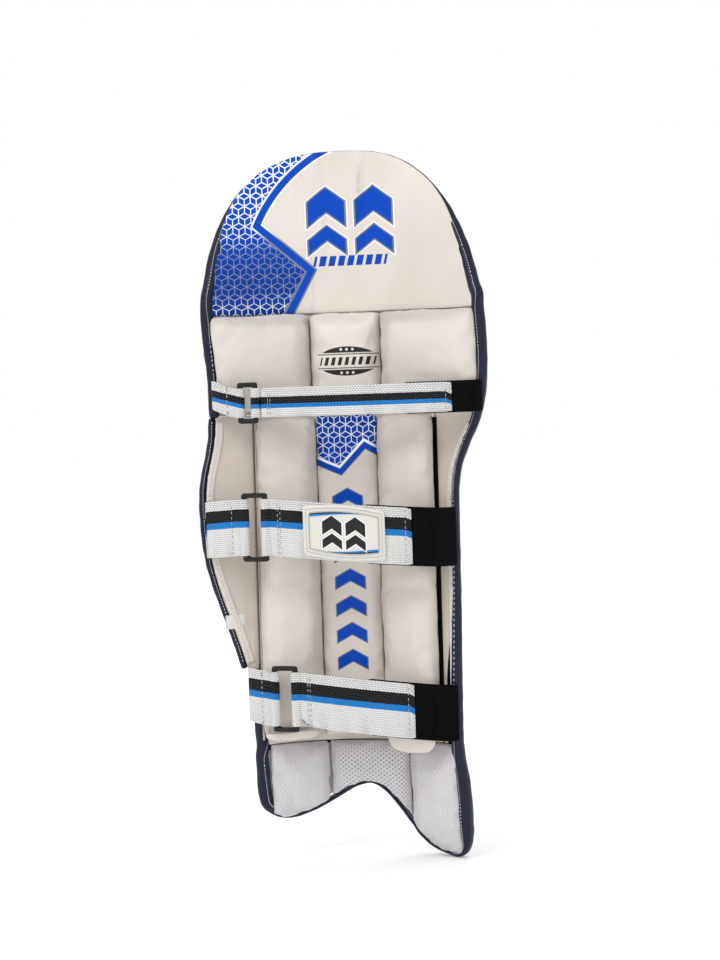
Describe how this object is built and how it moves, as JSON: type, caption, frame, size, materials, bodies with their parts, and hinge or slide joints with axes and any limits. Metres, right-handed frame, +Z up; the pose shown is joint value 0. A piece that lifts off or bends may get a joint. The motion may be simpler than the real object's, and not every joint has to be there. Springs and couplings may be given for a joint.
{
  "type": "cricket batting leg pad",
  "caption": "Shin, knee and instep guard: a padded trough with a hinged knee flap and instep, closed by webbing straps on rectangular rings.",
  "frame": {"origin": "leg seat: the middle of the shin panel's inner face, level with the calf strap", "axes": "+Z up the leg; -Y towards the leg and the straps, +Y out of the strike face; +X to the right seen from the leg side"},
  "size_m": [0.2903, 0.1381, 0.7086],
  "materials": {
    "navy_pu": "navy synthetic leather, satin, fine grain",
    "white_pu": "off-white synthetic leather, satin, softly wrinkled",
    "mesh_fabric": "off-white knitted mesh, matt",
    "foam": "closed-cell foam, matt",
    "cane": "split cane, matt",
    "webbing": "coarse woven webbing, white with a black and a blue stripe",
    "hook_loop": "black hook-and-loop pile",
    "ring_plastic": "black moulded acetal, lightly scuffed",
    "badge": "moulded soft rubber plaque",
    "label": "blank satin label"
  },
  "bodies": {
    "shin": {"shin_face": "navy_pu", "shin_cane_1": "cane", "shin_cane_2": "cane", "shin_cane_3": "cane", "shin_cane_4": "cane", "shin_cane_5": "cane", "shin_cane_6": "cane", "shin_cane_7": "cane", "shin_foam_core": "foam", "shin_lining": "white_pu", "left_bolster": "mesh_fabric", "right_bolster": "mesh_fabric", "shin_panel": "white_pu", "right_wing_face": "navy_pu", "right_wing_lining": "white_pu", "knee_backing": "navy_pu", "knee_roll_lower": "navy_pu", "knee_roll_middle": "navy_pu", "knee_roll_upper": "navy_pu", "knee_cushion_left": "mesh_fabric", "knee_cushion_centre": "white_pu", "knee_cushion_right": "mesh_fabric", "right_binding": "navy_pu", "left_shin_binding": "navy_pu", "knee_left_binding": "navy_pu", "tab_top": "webbing", "tab_bottom": "webbing", "loop_band_top": "hook_loop", "loop_band_middle": "hook_loop", "loop_band_bottom": "hook_loop"},
    "top_hat": {"top_hat_face": "navy_pu", "top_hat_cane_1": "cane", "top_hat_cane_2": "cane", "top_hat_cane_3": "cane", "top_hat_cane_4": "cane", "top_hat_cane_5": "cane", "top_hat_foam_core": "foam", "top_hat_lining": "white_pu", "top_hat_binding": "navy_pu"},
    "instep": {"instep_face": "navy_pu", "instep_pad_left": "mesh_fabric", "instep_pad_centre": "mesh_fabric", "instep_pad_right": "mesh_fabric", "instep_binding": "navy_pu"},
    "left_wing": {"left_wing_face": "navy_pu", "left_wing_foam": "foam", "left_wing_lining": "white_pu", "left_wing_binding": "navy_pu", "tab_middle": "webbing", "care_label": "label"},
    "ring_top": {"ring_top": "ring_plastic"},
    "ring_middle": {"ring_middle": "ring_plastic"},
    "ring_bottom": {"ring_bottom": "ring_plastic"},
    "strap_top": {"strap_top": "webbing", "hook_tab_top": "hook_loop"},
    "strap_middle": {"strap_middle": "webbing", "hook_tab_middle": "hook_loop", "strap_badge": "badge"},
    "strap_bottom": {"strap_bottom": "webbing", "hook_tab_bottom": "hook_loop"}
  },
  "joints": [
    {"name": "top_hat_fold", "type": "hinge", "parent": "shin", "child": "top_hat", "pos_m": [0, 0.023, 0.2235], "axis": [-1, 0, 0], "range_deg": [-8, 12], "stiffness_Nm_per_rad": 3},
    {"name": "instep_flex", "type": "hinge", "parent": "shin", "child": "instep", "pos_m": [0, 0.024, -0.2125], "axis": [1, 0, 0], "range_deg": [-5, 14], "stiffness_Nm_per_rad": 3},
    {"name": "left_wing_fold", "type": "hinge", "parent": "shin", "child": "left_wing", "pos_m": [-0.092, 0.0004, 0], "axis": [0, -0.0488, -0.9988], "range_deg": [0, 20], "stiffness_Nm_per_rad": 2},
    {"name": "ring_top_turn", "type": "hinge", "parent": "shin", "child": "ring_top", "pos_m": [-0.096, -0.0561, 0.1325], "axis": [0, 0, -1], "range_deg": [0, 45]},
    {"name": "ring_middle_turn", "type": "hinge", "parent": "left_wing", "child": "ring_middle", "pos_m": [-0.094, -0.06587, 0.0105], "axis": [0, 0, -1], "range_deg": [0, 45]},
    {"name": "ring_bottom_turn", "type": "hinge", "parent": "shin", "child": "ring_bottom", "pos_m": [-0.0725, -0.05103, -0.161], "axis": [0, 0, -1], "range_deg": [0, 45]},
    {"name": "strap_top_swing", "type": "hinge", "parent": "ring_top", "child": "strap_top", "pos_m": [-0.08, -0.05843, 0.1325], "axis": [0, 0, -1], "range_deg": [0, 120]},
    {"name": "strap_middle_swing", "type": "hinge", "parent": "ring_middle", "child": "strap_middle", "pos_m": [-0.072, -0.07069, 0.0105], "axis": [0, 0, -1], "range_deg": [0, 120]},
    {"name": "strap_bottom_swing", "type": "hinge", "parent": "ring_bottom", "child": "strap_bottom", "pos_m": [-0.0505, -0.05581, -0.161], "axis": [0, 0, -1], "range_deg": [0, 120]}
  ]
}
